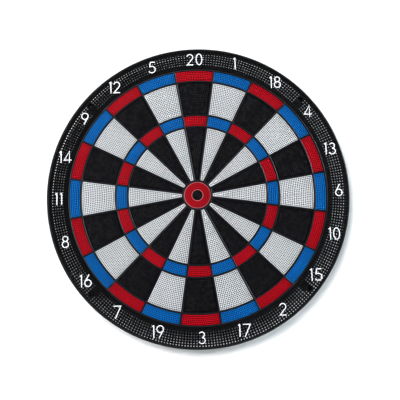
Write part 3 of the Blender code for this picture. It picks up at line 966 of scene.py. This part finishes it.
def make_screw(node, head_height, core_r, ridge, pitch, faces_front, slot):
    """A pan-head tapping screw: a rounded head with a cross recess, and a thread round the shank."""
    low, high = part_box(node)
    centre = ((low.x + high.x) / 2 / MM, (low.z + high.z) / 2 / MM)
    head_r = (high.x - low.x) / 2 / MM
    front, back = depths(node)
    length = front - back
    top, way = (front, -1) if faces_front else (back, 1)
    steps, rows_per_turn = 24, 8
    rows = [(0.0, 0.3 * head_r), (0.02, 0.55 * head_r), (0.3 * head_height, 0.85 * head_r),
            (0.65 * head_height, 0.98 * head_r), (0.85 * head_height, head_r),
            (head_height, 0.98 * head_r), (head_height, core_r)]
    thread_start, thread_end = head_height + 0.4, length - 1.5
    threaded = thread_end - thread_start
    spans = round(threaded / pitch * rows_per_turn)
    rows += [(thread_start + threaded * i / spans, core_r) for i in range(spans + 1)]
    rows += [(length - 0.7, 0.6 * core_r), (length, 0.15 * core_r)]
    bm = bmesh.new()
    rings = []
    for along, r in rows:
        ring = []
        for i in range(steps):
            turn = 2 * math.pi * i / steps
            if thread_start < along < thread_end:
                part = (along / pitch - i / steps) % 1
                reach = r + ridge * max(0.0, 1 - 2.2 * abs(2 * part - 1))
            else:
                reach = r
            x, z = polar(reach, turn)
            ring.append(bm.verts.new(at(centre[0] + x, centre[1] + z, top + way * along)))
        rings.append(ring)
    for near, far in zip(rings, rings[1:]):
        for i in range(steps):
            j = (i + 1) % steps
            bm.faces.new((near[i], near[j], far[j], far[i]))
    bm.faces.new(rings[0])
    bm.faces.new(rings[-1])
    recess = bmesh.new()
    arm, half = 0.62 * head_r, 0.13 * head_r
    levels = sorted((top + way * 0.55 * head_height, top - way * 1.0))
    outline = [(half, half), (half, arm), (-half, arm), (-half, half), (-arm, half), (-arm, -half),
               (-half, -half), (-half, -arm), (half, -arm), (half, -half), (arm, -half), (arm, half)]
    loops = []
    for depth in levels:
        loops.append([recess.verts.new(at(centre[0] + x, centre[1] + z, depth)) for x, z in outline])
    for i in range(len(outline)):
        j = (i + 1) % len(outline)
        recess.faces.new((loops[0][i], loops[0][j], loops[1][j], loops[1][i]))
    recess.faces.new(loops[0])
    recess.faces.new(loops[1])
    mesh = combined(close_mesh(f"{node}_steel", bm), [("DIFFERENCE", recess)])
    piece(f"{node}_steel", mesh, LOOKS[slot], "board", [node])


def make_screws():
    for index in range(len(screw_places())):
        make_screw(f"ring_screw_{index + 1}", 2.2, 1.3, 0.45, 1.3, True, "screw_black")
    for index in range(2):
        make_screw(f"hanger_screw_{index + 1}", 1.5, 1.1, 0.4, 1.1, False, "zinc_steel")


def make_pad():
    """The sponge disc, grooved behind the triples and thinner behind the doubles, with an uneven face."""
    pad_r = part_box("backing_pad")[1].x / MM
    groove, spare, soft, spacing = 15.0, 1.0, 0.8, 6
    double_in = cell_radii(DOUBLE)[0] - spare
    triple_in, triple_out = cell_radii(TRIPLE)[0] - spare, cell_radii(TRIPLE)[1] + spare
    corners = [
        (0.0, PAD_BACK), (pad_r - soft, PAD_BACK), (pad_r, PAD_BACK + soft), (pad_r, groove - soft),
        (pad_r - soft, groove), (double_in, groove), (double_in, PAD_FRONT - soft),
        (double_in - soft, PAD_FRONT), (triple_out + soft, PAD_FRONT), (triple_out, PAD_FRONT - soft),
        (triple_out, groove), (triple_in, groove), (triple_in, PAD_FRONT - soft),
        (triple_in - soft, PAD_FRONT), (0.0, PAD_FRONT),
    ]
    profile = []
    for (ar, ad), (br, bd) in zip(corners, corners[1:]):
        parts = max(1, round(math.dist((ar, ad), (br, bd)) / spacing))
        profile += [(ar + (br - ar) * i / parts, ad + (bd - ad) * i / parts) for i in range(parts)]
    profile.append(corners[-1])
    bm = bmesh.new()
    turned(bm, profile, 180)
    broad, fine, unevenness = 14 * MM, 5 * MM, 0.16 * MM
    for vert in bm.verts:
        swell = noise.noise(vert.co / broad) + 0.5 * noise.noise(vert.co / fine)
        vert.co.y += unevenness * (swell + 0.8)
    mesh = close_mesh("backing_pad_sponge", bm)
    obj = piece("backing_pad_sponge", mesh, LOOKS["sponge"], "board", ["backing_pad"])


# ---------------------------------------------------------------- stage


def aimed(name, kind, azimuth, elevation, distance):
    """A light that looks at the board from azimuth (0 is in front, + is to the right) and elevation."""
    a, e = math.radians(azimuth), math.radians(elevation)
    back = Vector((math.sin(a) * math.cos(e), -math.cos(a) * math.cos(e), math.sin(e)))
    data = bpy.data.lights.new(name, kind)
    obj = bpy.data.objects.new(name, data)
    bpy.context.scene.collection.objects.link(obj)
    obj.location = back * distance
    obj.rotation_euler = (-back).to_track_quat("-Z", "Y").to_euler()
    return obj


def area(name, azimuth, elevation, distance, size, power, tint=(1.0, 1.0, 1.0)):
    obj = aimed(name, "AREA", azimuth, elevation, distance)
    obj.data.color = tint
    obj.data.shape = "DISK"
    obj.data.size = size
    obj.data.energy = power
    return obj


def spot(name, azimuth, elevation, distance, reach, power):
    """A spot lamp whose cone covers a disk of radius reach about the board's middle."""
    obj = aimed(name, "SPOT", azimuth, elevation, distance)
    obj.data.spot_size = 2 * math.atan(reach / distance)
    obj.data.spot_blend = 0.3
    obj.data.shadow_soft_size = 0.25
    obj.data.energy = power
    return obj


def flat_sheet(name, corners, material):
    mesh = bpy.data.meshes.new(name)
    mesh.from_pydata(corners, [], [(0, 1, 2, 3)])
    mesh.materials.append(material)
    obj = bpy.data.objects.new(name, mesh)
    bpy.context.scene.collection.objects.link(obj)
    return obj


def paint(name, level):
    """Matte grey paint."""
    material = bpy.data.materials.new(name)
    material.use_nodes = True
    shader = material.node_tree.nodes["Principled BSDF"]
    shader.inputs["Base Color"].default_value = (level, level, level, 1)
    shader.inputs["Roughness"].default_value = 0.9
    return material


def seen_from_front(material):
    """Makes a material clear when it is seen from behind."""
    nodes, links = material.node_tree.nodes, material.node_tree.links
    mix = nodes.new("ShaderNodeMixShader")
    links.new(nodes.new("ShaderNodeNewGeometry").outputs["Backfacing"], mix.inputs[0])
    links.new(nodes["Principled BSDF"].outputs[0], mix.inputs[1])
    links.new(nodes.new("ShaderNodeBsdfTransparent").outputs[0], mix.inputs[2])
    links.new(mix.outputs[0], nodes["Material Output"].inputs["Surface"])
    return material


def make_room():
    """A pale floor, and a pale wall that shows only from the front, so that the back can be seen."""
    floor_z, reach = -0.75, 4.0
    floor_corners = [
        (-reach, -reach, floor_z), (reach, -reach, floor_z),
        (reach, reach, floor_z), (-reach, reach, floor_z),
    ]
    flat_sheet("floor", floor_corners, paint("pale_paint", 0.86))
    wall_y, side, top_z = 0.0006, 1.6, 1.6
    wall_corners = [
        (-side, wall_y, floor_z), (side, wall_y, floor_z), (side, wall_y, top_z), (-side, wall_y, top_z),
    ]
    wall = flat_sheet("wall", wall_corners, seen_from_front(paint("pale_wall", 0.89)))
    wall.visible_shadow = False


def make_world():
    """A faint cool fill light, with a pale backdrop where the camera looks past the room."""
    world = bpy.data.worlds.new("studio")
    bpy.context.scene.world = world
    world.use_nodes = True
    nodes, links = world.node_tree.nodes, world.node_tree.links
    fill = nodes["Background"]
    fill.inputs["Color"].default_value = (0.95, 0.97, 1.0, 1)
    fill.inputs["Strength"].default_value = 0.035
    backdrop = nodes.new("ShaderNodeBackground")
    backdrop.inputs["Color"].default_value = (0.8, 0.8, 0.8, 1)
    seen = nodes.new("ShaderNodeMixShader")
    links.new(nodes.new("ShaderNodeLightPath").outputs["Is Camera Ray"], seen.inputs[0])
    links.new(fill.outputs[0], seen.inputs[1])
    links.new(backdrop.outputs[0], seen.inputs[2])
    links.new(seen.outputs[0], nodes["World Output"].inputs["Surface"])


def make_lights():
    """A soft key from the upper left, weak fills, a panel for reflections only, and two lamps behind."""
    area("key", -15.5, 15.5, 1.7, 0.8, 21.6)
    area("right", 84, 22, 1.8, 0.35, 33, tint=(0.84, 0.95, 1.0))
    area("top", 0, 52, 2.2, 0.9, 4)
    sheen = area("sheen", 66, 24, 1.8, 1.6, 62)
    sheen.visible_diffuse = False
    spot("rear", 200, 30, 2.2, 0.225, 200)
    spot("rear_low", 235, 5, 2.2, 0.225, 160)
    bpy.context.scene.view_settings.view_transform = "Standard"
    bpy.context.scene.view_settings.look = "High Contrast"


def make_camera():
    """The view from just below and to the right of straight ahead, turned a little."""
    target = Vector((0.0037, -0.0289, -0.0076))
    azimuth, elevation, roll = math.radians(0.97), math.radians(-6.97), math.radians(-1.57)
    distance, field, sensor = 0.9413, 35.84, 36.0
    back = Vector((
        math.sin(azimuth) * math.cos(elevation),
        -math.cos(azimuth) * math.cos(elevation),
        math.sin(elevation),
    ))
    camera = bpy.data.objects.new("camera", bpy.data.cameras.new("camera"))
    bpy.context.scene.collection.objects.link(camera)
    camera.data.sensor_width = sensor
    camera.data.lens = sensor / 2 / math.tan(math.radians(field / 2))
    camera.location = target + back * distance
    turn = (-back).to_track_quat("-Z", "Y").to_matrix() @ Matrix.Rotation(roll, 3, "Z")
    camera.rotation_euler = turn.to_euler()
    bpy.context.scene.camera = camera


make_camera()
make_segments()
make_bulls()
make_spider()
make_number_ring()
make_back_cover()
make_hanger_plate()
make_screws()
make_pad()
make_room()
make_world()
make_lights()
